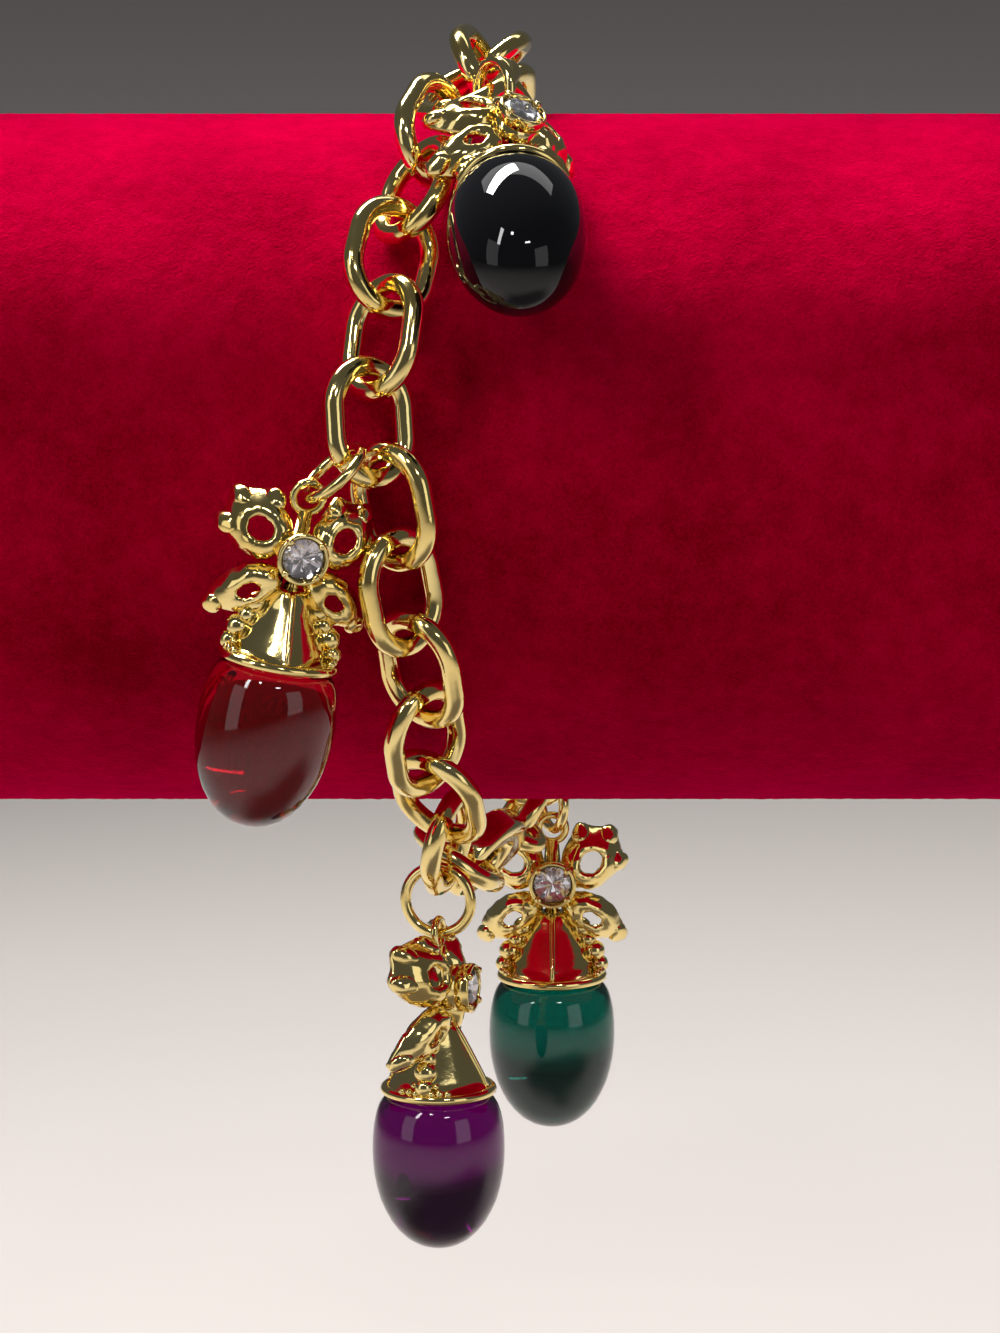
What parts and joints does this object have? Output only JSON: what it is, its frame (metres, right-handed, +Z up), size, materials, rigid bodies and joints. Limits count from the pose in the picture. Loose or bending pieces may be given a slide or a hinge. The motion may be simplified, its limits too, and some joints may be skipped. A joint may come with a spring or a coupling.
{
  "type": "charm bracelet on a display bar",
  "caption": "Gold-coloured cable-link charm bracelet round a velvet display bar, with pierced flower charms above round glass drops.",
  "frame": {"origin": "middle of the display bar's axis", "axes": "+X along the bar, towards the green drop's side, -Y towards the viewer, +Z up"},
  "size_m": [0.11, 0.0726, 0.0956],
  "materials": {
    "velvet": "deep pink velvet",
    "gold": "polished yellow gold colour",
    "crystal": "clear cut stone",
    "black_glass": "polished, opaque",
    "red_glass": "polished, see-through",
    "purple_glass": "polished, see-through",
    "green_glass": "polished, see-through"
  },
  "bodies": {
    "bar_and_chain": {"display_bar": "velvet", "link_01": "gold", "link_02": "gold", "link_03": "gold", "link_04": "gold", "link_05": "gold", "link_06": "gold", "link_07": "gold", "link_08": "gold", "link_09": "gold", "link_10": "gold", "link_11": "gold", "link_12": "gold", "link_13": "gold", "link_14": "gold", "link_15": "gold", "link_16": "gold", "link_17": "gold", "link_18": "gold", "link_19": "gold", "link_20": "gold", "link_21": "gold", "link_22": "gold", "link_23": "gold", "link_24": "gold", "link_25": "gold", "link_26": "gold", "link_27": "gold", "link_28": "gold", "clasp": "gold", "black_ring": "gold", "black_flower": "gold", "black_drop": "black_glass", "black_rhinestone": "crystal", "red_ring": "gold", "red_flower": "gold", "red_drop": "red_glass", "red_rhinestone": "crystal"},
    "purple_charm": {"purple_ring": "gold", "purple_flower": "gold", "purple_drop": "purple_glass", "purple_rhinestone": "crystal"},
    "green_charm": {"green_ring": "gold", "green_flower": "gold", "green_drop": "green_glass", "green_rhinestone": "crystal"}
  },
  "joints": [
    {"name": "purple_charm_swing", "type": "hinge", "parent": "bar_and_chain", "child": "purple_charm", "pos_m": [-0.00486, -0.01674, -0.03154], "axis": [0, 1, 0], "range_deg": [-20, 20]},
    {"name": "green_charm_swing", "type": "hinge", "parent": "bar_and_chain", "child": "green_charm", "pos_m": [0.00435, 0.01165, -0.03006], "axis": [0.9061, 0.423, 0], "range_deg": [-20, 15]}
  ]
}
